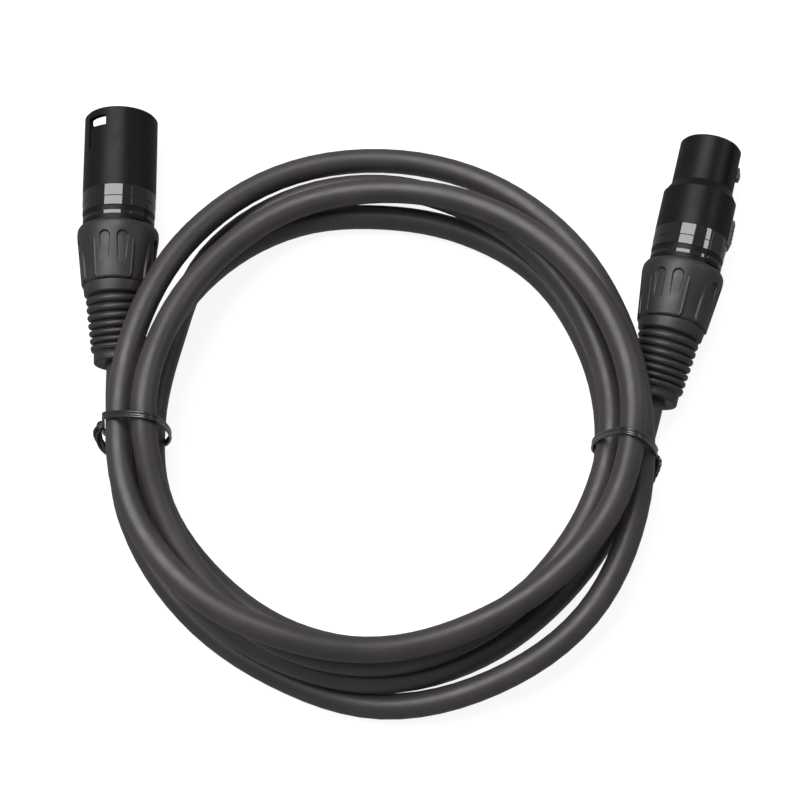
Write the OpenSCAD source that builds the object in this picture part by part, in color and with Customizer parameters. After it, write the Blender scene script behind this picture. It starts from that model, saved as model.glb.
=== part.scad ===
// Balanced audio cable with a male and a female connector, wound into a ring and held by two twist ties.
// Millimetres, +Z up, the cable and the boots lie on z = 0, the mating ends face +Y.

/* [Cable] */
// Outside diameter of the cable jacket
cable_d = 6.4; // [5.6:0.1:7.2]
// Radius of the middle of the wound ring
coil_r = 65; // [55:1:90]
// Diameter of one insulated core
core_d = 1.3; // [1:0.1:1.5]

/* [Connector shells] */
// Outside diameter of both metal shells
shell_d = 19; // [18.6:0.1:19.6]
// Outside diameter of the female nose
nose_d = 16; // [15.8:0.1:16.2]
// Inside diameter of the male mouth
mouth_d = 16.4; // [16.2:0.1:16.8]
// Length of the male shell in front of its boot
male_len = 31.2; // [29:0.1:34]
// Depth of the male mouth down to the insert
mouth_depth = 15.7; // [15:0.1:17]
// Length of the wide part of the female shell
female_body_len = 20.7; // [20.2:0.1:23]
// Length of the female nose beyond the sloping shoulder
nose_len = 12.7; // [12:0.1:13.4]

/* [Contacts] */
// Diameter of a male contact pin
pin_d = 2.4; // [2.2:0.05:2.5]
// Diameter of the circle on which the contacts stand
contact_circle = 8.1; // [7.8:0.1:8.4]
// How far a male pin stands out of its insert
pin_reach = 12.5; // [11.5:0.1:13]

/* [Latch] */
// Width of the thumb pad of the latch
pad_w = 5.4; // [4.4:0.1:7]
// How far the thumb pad stands out of the shell
pad_rise = 0.7; // [0.6:0.1:1.6]
// Number of grooves across the thumb pad
pad_grooves = 4; // [2:1:5]

/* [Boots] */
// How far the front rim of the boot stands out round the shell
boot_rise = 1; // [0.8:0.05:2]
// Length of the hard bushing
bushing_len = 15.6; // [14:0.2:18]
// Length of the soft bend relief
relief_len = 19.8; // [18.4:0.2:26]
// Outside diameter of the bend relief at its end
relief_tail_d = 12.9; // [12:0.1:13.6]
// Number of grooves round the bend relief
relief_grooves = 7; // [5:1:7]

/* [Ties] */
// Width of the twist tie band
tie_w = 1.9; // [1.5:0.1:2.6]
// Thickness of the twist tie band
tie_t = 0.72; // [0.6:0.02:0.8]

/* [Hidden] */
$fn = 72;
eps = 0.01;
fit = 0.03;

// ---- where things stand
layout = [-3.0, 3.7];
coil_c = [layout.x - 4.6, layout.y - 7.5];
shell_r = shell_d / 2;
rim_r = shell_r + boot_rise;
axis_z = rim_r;
tail_z = relief_tail_d / 2 + 1.05;
male_at = [coil_c.x - coil_r - 3.5, coil_c.y + 50.1];
female_at = [coil_c.x + coil_r + 12.8, coil_c.y + 39.1];
male_yaw = 0.9;
female_yaw = -14.2;
male_lean = 0.7;
female_lean = -0.6;
male_clock = -33;
female_clock = 90;
groove_clock = 39;
window_w = 5.6;
window_back = 5.1;
window_front = 2.3;
strip_turn = 13;
strip_w = 1.5;
strip_deep = 0.35;
strip_back = 10.9;
strip_front = 5;
key_w = 3.6;
key_rise = 0.12;
step_1 = 3.8;
step_2 = 6.3;
band_z = 9.4;

// ---- connector sizes that follow from the driving ones
waist_r = shell_r - 0.3;
spigot_r = shell_r - 1.5;
spigot_len = 9;
bore_r = spigot_r - 1;
seat_z = male_len - mouth_depth - 5.5;
pin_face_z = male_len - mouth_depth;
pin_root_r = pin_d / 2 + 0.5;
pin_tip_z = pin_face_z + pin_reach;
boss_z = seat_z - 4;
shoulder_z = female_body_len + 2.2;
nose_z = shoulder_z + nose_len;
nose_r = nose_d / 2;
nose_bore_r = nose_r - 1.37;
insert_back_z = nose_z - 23.6;
insert_front_z = nose_z - 0.6;
contact_r = contact_circle / 2;
contact_turns = [60, -60, 180];
socket_bore_r = pin_d / 2 + 0.02;
socket_r = socket_bore_r + 0.68;
cup_r = core_d / 2 + 0.05;
cup_depth = 1.5;
collar_len = 3;
jacket_end = 2.5;
chuck_front = 2;
chuck_back = 11;

// ---- latch
lever_w = 2.8;
lever_r0 = 5.5;
lever_r1 = 6.3;
slot_w = lever_w + 0.6;
slot_floor_r = 3.7;
pivot_r = 5.6;
pivot_z = insert_back_z - 7;
pivot_pin_r = 0.6;
pivot_reach = sqrt(bore_r * bore_r - pivot_r * pivot_r) + 0.6;
pad_z0 = pivot_z + 3.6;
pad_len = 7;
pad_root_r = spigot_r - 0.3;
pad_gap = 0.35;
catch_z1 = nose_z - 4.6;
catch_len = 3;

// ---- the wound ring: how the strands lie over each other at 16 stations, for a 6.4 mm cable on a 65 mm ring
// each row is one station, 22.5 degrees after the last; each pair is [radius, height] of one passing strand
rows = [
  [[-1.0, 18.8], [-3.5, 25.4], [-7.2, 11.3], [-7.6, 4.2], [1.8, 7.6]],
  [[-0.7, 15.9], [-4.4, 23.6], [-6.8, 10.1], [-7.8, 3.2]],
  [[2.7, 9.6], [-4.6, 19.4], [-5.8, 10.2], [-7.4, 3.2]],
  [[6.4, 4.4], [-4.8, 15.7], [-3.9, 8.7], [-8.3, 3.2]],
  [[7.9, 3.3], [-4.3, 12.0], [-0.4, 5.3], [-8.3, 3.3]],
  [[7.3, 6.2], [-4.2, 11.4], [0.9, 3.4], [-6.3, 4.3]],
  [[3.8, 12.7], [-6.1, 15.2], [-0.6, 3.2], [-5.7, 8.2]],
  [[0.3, 19.1], [-7.4, 21.1], [-6.0, 3.3], [-5.7, 14.0]],
  [[1.8, 6.7], [-0.5, 20.9], [-7.1, 25.1], [-6.6, 4.3], [-4.4, 15.0]],
  [[2.7, 4.3], [0.6, 22.3], [-6.2, 20.8], [-5.8, 8.4], [-2.2, 14.4]],
  [[2.9, 3.6], [-0.6, 24.8], [-4.3, 17.5], [-6.8, 5.1], [-0.4, 11.5]],
  [[3.7, 3.2], [-3.5, 23.3], [-2.5, 16.3], [-7.0, 3.4], [0.2, 9.9]],
  [[6.4, 3.9], [-5.4, 19.3], [-3.1, 12.5], [-7.4, 3.2], [-0.4, 5.9]],
  [[6.5, 8.6], [-7.0, 17.1], [-5.8, 10.2], [-7.4, 3.2], [-0.1, 3.2]],
  [[5.9, 11.5], [-6.0, 18.2], [-7.5, 10.6], [-7.5, 3.2], [-0.6, 6.3]],
  [[2.4, 14.6], [-3.6, 22.3], [-8.1, 11.8], [-7.0, 4.2], [-1.7, 8.9]]
];
stations = len(rows);
station_step = 360 / stations;
first_turn = 180;
last_turn = 1800;
coil_from = first_turn + station_step;
coil_to = last_turn - station_step;
rings_per_loop = 24;
ring_step = 360 / rings_per_loop;
cable_r = cable_d / 2;
swell = cable_d / 6.4;

// the pair at station k, counted from angle 0 on the whole winding
function pair_at(k) =
  let (station = k % stations, loop = floor(k / stations))
  rows[station][station < stations / 2 ? loop - 1 : loop];
first_k = round(first_turn / station_step);
last_k = round(last_turn / station_step);
function lay(k) = pair_at(min(max(k, first_k), last_k));
function blend(a, b, c, d, f) =
  0.5 * (2 * b + (c - a) * f + (2 * a - 5 * b + 4 * c - d) * f * f + (3 * b - a - 3 * c + d) * f * f * f);
function lay_at(turn) =
  let (t = turn / station_step, k = min(floor(t), last_k - 1))
  blend(lay(k - 1), lay(k), lay(k + 1), lay(k + 2), t - k);
function ring_point(turn, place) =
  let (r = coil_r + place[0] * swell, z = max(cable_r, place[1] * swell))
  [coil_c.x + r * cos(turn), coil_c.y + r * sin(turn), z];
function coil_point(turn) = ring_point(turn, lay_at(turn));

coil_steps = ceil((coil_to - coil_from) / ring_step);
coil_path = [for (i = [0:coil_steps]) coil_point(coil_from + (coil_to - coil_from) * i / coil_steps)];
coil_start_dir = unit(coil_path[1] - coil_path[0]);
coil_end_dir = unit(coil_path[coil_steps] - coil_path[coil_steps - 1]);

// least free distance between neighbouring turns of the ring
near_turns = [for (i = [0:coil_steps]) for (j = [i + 12:coil_steps]) norm(coil_path[i] - coil_path[j])];
echo(least_gap_mm = min(near_turns) - cable_d);

// ---- small helpers
function unit(v) = v / norm(v);
function smooth(t) = t * t * (3 - 2 * t);
function side_of(t) = unit(cross([0, 0, 1], t));
function circle_ring(c, t, r, sides) =
  let (u = side_of(t), v = cross(t, u))
  [for (j = [0:sides - 1]) let (a = 360 * j / sides + 90) c + r * (cos(a) * u + sin(a) * v)];
function hermite(a, ta, b, tb, f) =
  let (l = norm(b - a))
  (2 * f * f * f - 3 * f * f + 1) * a + (f * f * f - 2 * f * f + f) * l * ta
  + (3 * f * f - 2 * f * f * f) * b + (f * f * f - f * f) * l * tb;
function joint_dir(path, i) = unit(unit(path[i + 1] - path[i]) + unit(path[i] - path[i - 1]));
function dirs(path, d0, d1) =
  [for (i = [0:len(path) - 1]) i == 0 ? d0 : i == len(path) - 1 ? d1 : joint_dir(path, i)];
function turned(v, a) = [v[0] * cos(a) - v[1] * sin(a), v[0] * sin(a) + v[1] * cos(a), v[2]];

// joins rings of points into one closed skin of triangles
module skin(rings, loop = false) {
  n = len(rings);
  m = len(rings[0]);
  pts = [for (r = rings) each r];
  side = [
    for (i = [0:(loop ? n : n - 1) - 1]) for (j = [0:m - 1])
      let (next = (i + 1) % n, k = (j + 1) % m)
      let (a = i * m + j, b = i * m + k, c = next * m + k, d = next * m + j)
      each [[a, b, c], [a, c, d]]
  ];
  front = [for (j = [1:m - 2]) [0, j + 1, j]];
  back = [for (j = [1:m - 2]) let (o = (n - 1) * m) [o, o + j, o + j + 1]];
  polyhedron(points = pts, faces = loop ? side : concat(side, front, back), convexity = 12);
}

module tube(path, r, sides, d0, d1) {
  t = dirs(path, d0, d1);
  skin([for (i = [0:len(path) - 1]) circle_ring(path[i], t[i], r, sides)]);
}

// ---- the axis of a boot: straight in the bushing, then leaning and sinking towards the cable
function sag(s, lean) =
  let (t = min(1, max(0, (s - bushing_len) / relief_len)))
  [lean * smooth(t), (axis_z - tail_z) * smooth(t), -s];
function sag_dir(s, lean) =
  let (t = min(1, max(0, (s - bushing_len) / relief_len)), g = 6 * t * (1 - t) / relief_len)
  unit([lean * g, (axis_z - tail_z) * g, -1]);
function seat(p, at, yaw) = let (w = turned([p[0], p[2], 0], yaw)) [at.x + w[0], at.y + w[1], axis_z - p[1]];
function seat_dir(p, yaw) = let (w = turned([p[0], p[2], 0], yaw)) [w[0], w[1], -p[1]];

module seated(at, yaw) translate([at.x, at.y, axis_z]) rotate([0, 0, yaw]) rotate([-90, 0, 0]) children();

// ---- leads: from the chuck through the boot and on to the ring
boot_len = bushing_len + relief_len;
boot_marks = [jacket_end, chuck_back, bushing_len, for (i = [1:5]) bushing_len + relief_len * i / 5];
function boot_path(at, yaw, lean) = [for (s = boot_marks) seat(sag(s, lean), at, yaw)];
function span(a, ta, b, tb, steps) = [for (i = [1:steps]) hermite(a, ta, b, tb, i / steps)];

male_boot_path = boot_path(male_at, male_yaw, male_lean);
male_end = male_boot_path[len(male_boot_path) - 1];
male_out = seat_dir([0, 0, -1], male_yaw);
left_point = ring_point(first_turn, lay(first_k));
left_dir = unit(coil_path[0] - male_end);
lead_male_path = concat(
  male_boot_path,
  span(male_end, male_out, left_point, left_dir, 2),
  span(left_point, left_dir, coil_path[0], coil_start_dir, 4)
);

female_boot_path = boot_path(female_at, female_yaw, female_lean);
female_end = female_boot_path[len(female_boot_path) - 1];
female_out = seat_dir([0, 0, -1], female_yaw);
right_turn = last_turn - 8;
right_place = [0, 8];
right_point = ring_point(right_turn, right_place);
right_dir = unit(female_end - coil_path[coil_steps]);
lead_female_path = concat(
  female_boot_path,
  span(female_end, female_out, right_point, -right_dir, 2),
  span(right_point, -right_dir, coil_path[coil_steps], -coil_end_dir, 3)
);
lead_sides = 8;

function gap_to_coil(path, first, last) =
  min([for (p = path) for (i = [first:last]) norm(p - coil_path[i])]) - cable_d;
lead_male_gap = gap_to_coil(lead_male_path, 12, coil_steps);
lead_female_gap = gap_to_coil(lead_female_path, 0, coil_steps - 12);
echo(least_lead_gap_mm = min(lead_male_gap, lead_female_gap));
function path_len(p) = len(p) < 2 ? 0 : sum([for (i = [1:len(p) - 1]) norm(p[i] - p[i - 1])]);
function sum(v, i = 0) = i < len(v) ? v[i] + sum(v, i + 1) : 0;
echo(cable_length_mm = path_len(coil_path) + path_len(lead_male_path) + path_len(lead_female_path));

// ---- colours
jacket_col = [0.10, 0.095, 0.093];
boot_col = [0.11, 0.105, 0.10];
shell_col = [0.03, 0.03, 0.032];
insert_col = [0.05, 0.05, 0.052];
silver_col = [0.80, 0.80, 0.78];
steel_col = [0.62, 0.62, 0.62];
tie_col = [0.03, 0.03, 0.03];
hot_col = [0.75, 0.75, 0.72];
cold_col = [0.55, 0.10, 0.08];
drain_col = [0.62, 0.38, 0.22];

// ---- blocks on one side of a connector, from radius r0 out to r1
module block(w, r0, r1, z0, z1) translate([-w / 2, -r1, z0]) cube([w, r1 - r0, z1 - z0]);
module side_plate(w, pts)
  rotate([90, 0, 90]) linear_extrude(w, center = true) polygon([for (p = pts) [-p[0], p[1]]]);
module at_contact(clock, i)
  rotate([0, 0, clock + contact_turns[i]]) translate([0, -contact_r, 0]) children();
module at_contacts(clock) for (i = [0:len(contact_turns) - 1]) at_contact(clock, i) children();
// a round rod across the latch, on the axis on which it tips
module pivot_rod(len, r)
  translate([0, -pivot_r, pivot_z]) rotate([0, 90, 0]) cylinder(h = len, r = r, center = true);

// ---- rear of both shells: spigot, two fine steps, a polished band and a raised key
rear_outline = [
  [bore_r, -spigot_len], [spigot_r - 0.4, -spigot_len], [spigot_r, 0.4 - spigot_len], [spigot_r, 0],
  [waist_r, 0], [waist_r + 0.05, step_1 - 0.1], [waist_r + 0.16, step_1 + 0.1],
  [waist_r + 0.16, step_2 - 0.1], [shell_r - 0.05, step_2 + 0.1], [shell_r - 0.05, band_z],
  [shell_r, band_z + 0.1]
];
module key_pad()
  rotate([0, 0, groove_clock]) block(key_w, spigot_r, shell_r + key_rise, 0.4, band_z - 0.4);

// ---- male connector
module male_shell() color(shell_col) seated(male_at, male_yaw) difference() {
  union() {
    key_pad();
    rotate_extrude() polygon([
      each rear_outline, [shell_r, male_len - 0.6], [shell_r - 0.5, male_len],
      [mouth_d / 2 + 0.3, male_len], [mouth_d / 2, male_len - 0.4], [mouth_d / 2, seat_z], [bore_r, seat_z]
    ]);
  }
  rotate([0, 0, male_clock])
    block(window_w, mouth_d / 2 - 1, shell_r + 1, male_len - window_back, male_len - window_front);
  rotate([0, 0, male_clock - strip_turn])
    block(strip_w, shell_r - strip_deep, shell_r + 1, male_len - strip_back, male_len - strip_front);
}

// the keyway lies opposite the window and opens towards the mouth
keyway_w = 1.8;
keyway_deep = 3;
keyway_floor_r = mouth_d / 2 - 1.6;
module male_insert() color(insert_col) seated(male_at, male_yaw) difference() {
  union() {
    translate([0, 0, seat_z]) cylinder(h = pin_face_z - seat_z, r = mouth_d / 2 - fit);
    translate([0, 0, boss_z]) cylinder(h = seat_z - boss_z + eps, r = bore_r - fit);
  }
  at_contacts(male_clock) translate([0, 0, boss_z - 1]) cylinder(h = male_len, r = pin_root_r + fit);
  rotate([0, 0, male_clock + 180])
    block(keyway_w, keyway_floor_r, mouth_d / 2 + 0.8, pin_face_z - keyway_deep, male_len);
}

male_cup_floor = boss_z - collar_len + cup_depth;
male_pin_outline = [
  [0, male_cup_floor], [cup_r, male_cup_floor], [cup_r, boss_z - collar_len],
  [pin_root_r + 0.35, boss_z - collar_len], [pin_root_r + 0.35, boss_z], [pin_root_r, boss_z],
  [pin_root_r, pin_face_z - 0.1], [pin_d / 2, pin_face_z - 0.1], [pin_d / 2, pin_tip_z - 1],
  [pin_d / 2 - 0.35, pin_tip_z - 0.3], [pin_d / 2 - 0.8, pin_tip_z], [0, pin_tip_z]
];
module male_pin(i) color(silver_col) seated(male_at, male_yaw)
  at_contact(male_clock, i) rotate_extrude() polygon(male_pin_outline);
module male_pin_1() male_pin(0);
module male_pin_2() male_pin(1);
module male_pin_3() male_pin(2);

// ---- female connector
nose_key_w = 1.6;
module female_shell() color(shell_col) seated(female_at, female_yaw) difference() {
  union() {
    key_pad();
    rotate_extrude() polygon([
      each rear_outline, [shell_r, female_body_len - 0.4], [shell_r - 0.3, female_body_len],
      [nose_r, shoulder_z], [nose_r, nose_z - 0.6], [nose_r - 0.5, nose_z], [nose_bore_r, nose_z],
      [nose_bore_r, shoulder_z], [bore_r, shoulder_z]
    ]);
  }
  rotate([0, 0, female_clock]) {
    block(pad_w + 2 * pad_gap, lever_r0, shell_r + 3, pad_z0 - 0.4, pad_z0 + pad_len + 0.6);
    block(slot_w, lever_r0, nose_r + 3, catch_z1 - catch_len - 0.5, catch_z1 + 0.6);
    pivot_rod(2 * pivot_reach, pivot_pin_r);
  }
  rotate([0, 0, groove_clock]) block(nose_key_w, nose_r - 0.5, nose_r + 1, shoulder_z + 0.6, nose_z + 1);
}

module female_insert() color(insert_col) seated(female_at, female_yaw) difference() {
  union() {
    translate([0, 0, insert_back_z]) cylinder(h = shoulder_z - insert_back_z, r = bore_r - fit);
    translate([0, 0, shoulder_z - eps])
      cylinder(h = insert_front_z - shoulder_z + eps, r = nose_bore_r - fit);
  }
  at_contacts(female_clock) translate([0, 0, insert_back_z - 1]) cylinder(h = nose_z, r = socket_r + fit);
  rotate([0, 0, female_clock]) block(slot_w, slot_floor_r, bore_r + 2, insert_back_z - 1, nose_z - 2.6);
}

female_cup_floor = insert_back_z - collar_len + cup_depth;
socket_floor_z = insert_front_z - 15;
socket_outline = [
  [0, female_cup_floor], [cup_r, female_cup_floor], [cup_r, insert_back_z - collar_len],
  [socket_r + 0.3, insert_back_z - collar_len], [socket_r + 0.3, insert_back_z],
  [socket_r, insert_back_z], [socket_r, insert_front_z - 0.8], [socket_bore_r, insert_front_z - 0.8],
  [socket_bore_r, socket_floor_z], [0, socket_floor_z]
];
module female_socket(i) color(silver_col) seated(female_at, female_yaw)
  at_contact(female_clock, i) rotate_extrude() polygon(socket_outline);
module female_socket_1() female_socket(0);
module female_socket_2() female_socket(1);
module female_socket_3() female_socket(2);

pad_top_r = shell_r + pad_rise;
pad_end_z = pad_z0 + pad_len;
catch_outline = [
  [lever_r1 - eps, catch_z1], [nose_r + 0.35, catch_z1], [nose_r + 0.9, catch_z1 - catch_len + 0.8],
  [nose_r + 0.9, catch_z1 - catch_len], [lever_r1 - eps, catch_z1 - catch_len]
];
pad_outline = [
  [pad_root_r, pad_z0], [pad_top_r - 0.6, pad_z0], [pad_top_r, pad_z0 + 0.6],
  [pad_top_r, pad_end_z - 1.2], [shell_r + 0.3, pad_end_z], [pad_root_r, pad_end_z]
];
module at_latch() seated(female_at, female_yaw) rotate([0, 0, female_clock]) children();
module female_latch() color(steel_col) at_latch() difference() {
  union() {
    block(lever_w, lever_r0, lever_r1, pivot_z, catch_z1 + 0.5);
    pivot_rod(lever_w, pivot_pin_r + 0.5);
    side_plate(lever_w, catch_outline);
    block(lever_w, lever_r1 - eps, pad_root_r + 0.1, pad_z0 + 0.4, pad_end_z - 0.4);
    side_plate(pad_w, pad_outline);
  }
  pivot_rod(lever_w + 6.2, pivot_pin_r + 0.05);
  for (i = [1:pad_grooves]) {
    z = pad_z0 + 0.3 + (pad_len - 1.6) * i / (pad_grooves + 0.6);
    block(pad_w + 1, pad_top_r - 0.45, shell_r + 3, z - 0.3, z + 0.3);
  }
}

module female_latch_pin() color(steel_col) at_latch() pivot_rod(2 * pivot_reach, pivot_pin_r);

// a bent leaf lying on the floor of the slot under the lever
leaf_z = insert_back_z + 3;
leaf_len = 15;
leaf_t = 0.25;
leaf_lift = 0.96;
leaf_outline = [
  [slot_floor_r, leaf_z + leaf_len], [slot_floor_r + leaf_t, leaf_z + leaf_len],
  [slot_floor_r + leaf_t, leaf_z + 9], [slot_floor_r + leaf_lift + leaf_t + 0.01, leaf_z],
  [slot_floor_r + leaf_lift, leaf_z], [slot_floor_r, leaf_z + 8.6]
];
module female_latch_spring() color(silver_col) at_latch() side_plate(lever_w - 0.4, leaf_outline);

// ---- boots: chuck, hard bushing and soft bend relief
chuck_r = bore_r - 0.05;
chuck_slot = 1.2;
chuck_slit_len = 5;
module chuck() color(insert_col) difference() {
  translate([0, 0, -chuck_back]) cylinder(h = chuck_back - chuck_front, r = chuck_r);
  translate([0, 0, -chuck_back - 1]) cylinder(h = chuck_back + 2, r = cable_r + 0.02);
  for (a = [0:90:270]) rotate([0, 0, a + 45])
    block(chuck_slot, cable_r - 1, chuck_r + 1, -chuck_front - chuck_slit_len, 1);
}
module male_chuck() seated(male_at, male_yaw) chuck();
module female_chuck() seated(female_at, female_yaw) chuck();

male_grip_turn = 2.2;
female_grip_turn = -24.5;
bushing_end_r = rim_r - 1.55;
bushing_taper = (rim_r - 0.05 - bushing_end_r) / (bushing_len - 2.6);
panel_half = 32;
flute_half = 13;
flute_s = 4.9;
flute_r = 1.5;
flute_floor_r = rim_r - 0.85;
panel_s = 4.6;
panel_deep = 0.45;

// round-topped scoop whose floor runs out through the taper of the bushing
module flute() translate([0, -flute_floor_r, -flute_s]) {
  rotate([90, 0, 0]) cylinder(h = 2, r = flute_r, $fn = 48);
  translate([-flute_r, -2, -7]) cube([2 * flute_r, 2, 7]);
}
// sunk wedge between two panels, deepest at the end of the bushing
module panel_gap() rotate_extrude(angle = 90 - 2 * panel_half) polygon([
  [rim_r + 1, -panel_s], [rim_r - 0.05 - bushing_taper * (panel_s - 2.6), -panel_s],
  [bushing_end_r - panel_deep, -bushing_len - eps], [rim_r + 1, -bushing_len - eps]
]);
module bushing(clock) color(boot_col) difference() {
  rotate_extrude() polygon([
    [spigot_r + 0.05, 0], [rim_r - 0.9, 0], [rim_r - 0.45, -0.2], [rim_r - 0.12, -0.8], [rim_r, -1.8],
    [rim_r - 0.05, -2.6], [bushing_end_r, -bushing_len], [bore_r, -bushing_len], [bore_r, -spigot_len - 0.1],
    [spigot_r + 0.05, -spigot_len - 0.1]
  ]);
  for (g = [0:3]) rotate([0, 0, clock + 90 * g]) {
    for (h = [-1, 1]) rotate([0, 0, h * flute_half]) flute();
    rotate([0, 0, panel_half - 90]) panel_gap();
  }
}
module male_bushing() seated(male_at, male_yaw) bushing(male_grip_turn);
module female_bushing() seated(female_at, female_yaw) bushing(female_grip_turn);

relief_sides = 24;
relief_front_r = bushing_end_r - 0.4;
groove_from = bushing_len + 2.5;
groove_to = boot_len - 3.7;
groove_pitch = (groove_to - groove_from) / relief_grooves;
groove_deep = 0.95;
tail_r = relief_tail_d / 2;
function rib_r(s) =
  let (t = (s - groove_from) / (groove_to - groove_from))
  (relief_front_r - 0.65) * (1 - t) + (tail_r + 0.75) * t;
relief_bore_r = cable_r + 0.25;
relief_outline = concat(
  [[chuck_back, relief_bore_r], [chuck_back, bore_r - 0.1], [bushing_len, bore_r - 0.1]],
  [[bushing_len, relief_front_r]],
  [[groove_from - 0.5, relief_front_r - 0.4]],
  [
    for (k = [0:relief_grooves - 1]) let (s = groove_from + k * groove_pitch, r = rib_r(s))
      each [[s, r], [s + 0.3, r - groove_deep], [s + 0.85, r - groove_deep], [s + 1.15, r - 0.03]]
  ],
  [[groove_to, rib_r(groove_to)], [boot_len - 3.6, tail_r + 0.7], [boot_len - 3.2, tail_r + 0.3]],
  [[boot_len - 3.1, tail_r], [boot_len - 0.3, tail_r], [boot_len, tail_r - 0.3], [boot_len, relief_bore_r]],
  [for (i = [1:6]) [boot_len - relief_len * i / 6, relief_bore_r]]
);
module bend_relief(lean) color(boot_col) skin([
  for (k = [0:relief_sides - 1]) let (a = -360 * k / relief_sides)
    [for (p = relief_outline) let (t = sag_dir(p[0], lean), u = unit(cross([0, 1, 0], t)), v = cross(t, u))
      sag(p[0], lean) + p[1] * (cos(a) * u + sin(a) * v)]
], loop = true);
module male_bend_relief() seated(male_at, male_yaw) bend_relief(male_lean);
module female_bend_relief() seated(female_at, female_yaw) bend_relief(female_lean);

// ---- cores from the cut end of the jacket to the solder cups
core_lay_r = 1.3;
core_steps = 8;
function core_path(z1) = [
  for (i = [0:core_steps]) let (t = i / core_steps, f = smooth(min(1, max(0, (t - 0.12) / 0.7))))
    [0, -core_lay_r - (contact_r - core_lay_r) * f, -jacket_end + (z1 + jacket_end) * t]
];
module core(clock, i, z1) {
  p = core_path(z1);
  t = dirs(p, [0, 0, 1], [0, 0, 1]);
  rotate([0, 0, clock + contact_turns[i]]) skin([
    for (k = [0:core_steps]) let (u = [1, 0, 0], v = cross(t[k], u))
      [for (j = [0:7]) p[k] + core_d / 2 * (cos(45 * j) * u + sin(45 * j) * v)]
  ]);
}
module male_core(i) seated(male_at, male_yaw) core(male_clock, i, male_cup_floor);
module female_core(i) seated(female_at, female_yaw) core(female_clock, i, female_cup_floor);
module male_core_hot() color(hot_col) male_core(0);
module male_core_cold() color(cold_col) male_core(1);
module male_shield_drain() color(drain_col) male_core(2);
module female_core_hot() color(hot_col) female_core(0);
module female_core_cold() color(cold_col) female_core(1);
module female_shield_drain() color(drain_col) female_core(2);

// ---- cable
module cable_coil() color(jacket_col) tube(coil_path, cable_r, 6, coil_start_dir, coil_end_dir);
module cable_lead_male() color(jacket_col)
  tube(lead_male_path, cable_r, lead_sides, male_out, coil_start_dir);
module cable_lead_female() color(jacket_col)
  tube(lead_female_path, cable_r, lead_sides, female_out, -coil_end_dir);

// ---- twist ties: one band round the strands at one place, its two ends twisted together on the outside
tie_half = tie_t / 2;
tie_clear = 0.12;
tie_section = [
  [-1, 0], [-0.82, 1], [-0.3, 1], [0, 0.45], [0.3, 1], [0.82, 1],
  [1, 0], [0.82, -1], [0.3, -1], [0, -0.45], [-0.3, -1], [-0.82, -1]
];
arc_steps = 4;
twist_steps = 12;
twist_turns = 1.25;
twist_len = 7.5;
function section_at(c, u, v) = [for (q = tie_section) c + q[0] * tie_w / 2 * u + q[1] * tie_half * v];
// belt round circles of one size: centres counter-clockwise in the radius and height plane
function edge_turn(c, i) = let (n = len(c), d = c[(i + 1) % n] - c[i % n]) atan2(d[1], d[0]) - 90;
function swung(a, b) = b < a - 0.001 ? b + 360 : b;
function belt(c, r) = [
  for (i = [0:len(c) - 1])
    let (a = edge_turn(c, i + len(c) - 1), b = swung(a, edge_turn(c, i)))
    for (k = [0:arc_steps]) let (g = a + (b - a) * k / arc_steps)
      [c[i][0] + r * cos(g), c[i][1] + r * sin(g), g]
];
function radial(turn) = [cos(turn), sin(turn), 0];
function tangent(turn) = [-sin(turn), cos(turn), 0];
function on_section(turn, r, z) = [coil_c.x, coil_c.y, 0] + r * radial(turn) + [0, 0, z];
twist_bend = 2.2;
band_r = cable_r + tie_clear + tie_half;
function twist_angle(f) = min(90, f * twist_len / twist_bend * 180 / PI);
function twist_axis(turn, out_r, z, f, side) =
  let (a = twist_angle(f), rest = max(0, f * twist_len - twist_bend * PI / 2))
  on_section(turn, out_r + 0.2 + twist_bend * sin(a), z - 1.2 * f * f)
  + side * (twist_bend * (1 - cos(a)) + rest) * tangent(turn);
function twist_dir(turn, f, side) =
  cos(twist_angle(f)) * radial(turn) + side * sin(twist_angle(f)) * tangent(turn);
function twist_section(turn, out_r, z, f, way, side) =
  let (d = twist_dir(turn, f, side), g = 360 * twist_turns * f)
  let (n = cos(g) * [0, 0, 1] + sin(g) * cross(d, [0, 0, 1]))
  section_at(twist_axis(turn, out_r, z, f, side) + way * (tie_half + 0.12) * n, cross(n, d), way * n);
function belt_section(turn, p) =
  section_at(on_section(turn, p[0], p[1]), tangent(turn), cos(p[2]) * radial(turn) + [0, 0, sin(p[2])]);
module tie(turn, centres, knot_z, side) color(tie_col) {
  pts = belt(centres, band_r);
  low = pts[len(pts) - 1];
  high = pts[0];
  slope = (high[0] - low[0]) / (high[1] - low[1]);
  out_r = low[0] + slope * (knot_z - low[1]);
  skin(concat(
    [for (i = [twist_steps:-1:0]) twist_section(turn, out_r, knot_z, i / twist_steps, 1, side)],
    [belt_section(turn, [out_r + 0.12 + 0.7 * slope, knot_z + 0.8, 45])],
    [for (z = [1.5, 3]) belt_section(turn, [out_r + z * slope, knot_z + z, high[2]])],
    [for (p = pts) belt_section(turn, p)],
    [for (z = [3, 1.5]) belt_section(turn, [out_r - z * slope, knot_z - z, low[2]])],
    [belt_section(turn, [out_r + 0.12 - 0.7 * slope, knot_z - 0.8, -45])],
    [for (i = [0:twist_steps]) twist_section(turn, out_r, knot_z, i / twist_steps, -1, side)]
  ));
}
function chord_at(turn) =
  let (t = (turn - coil_from) / (coil_to - coil_from) * coil_steps, i = floor(t))
  coil_path[i] + (coil_path[i + 1] - coil_path[i]) * (t - i);
function centre_at(turn) =
  let (p = chord_at(turn)) [norm([p.x, p.y] - [coil_c.x, coil_c.y]), p.z];
function strands_at(turn, first, last) = [for (n = [first:last]) centre_at(turn + 360 * n)];
left_tie_turn = 180;
left_knot_z = 13;
left_lead = [coil_r + lay(first_k)[0] * swell, lay(first_k)[1] * swell];
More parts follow.
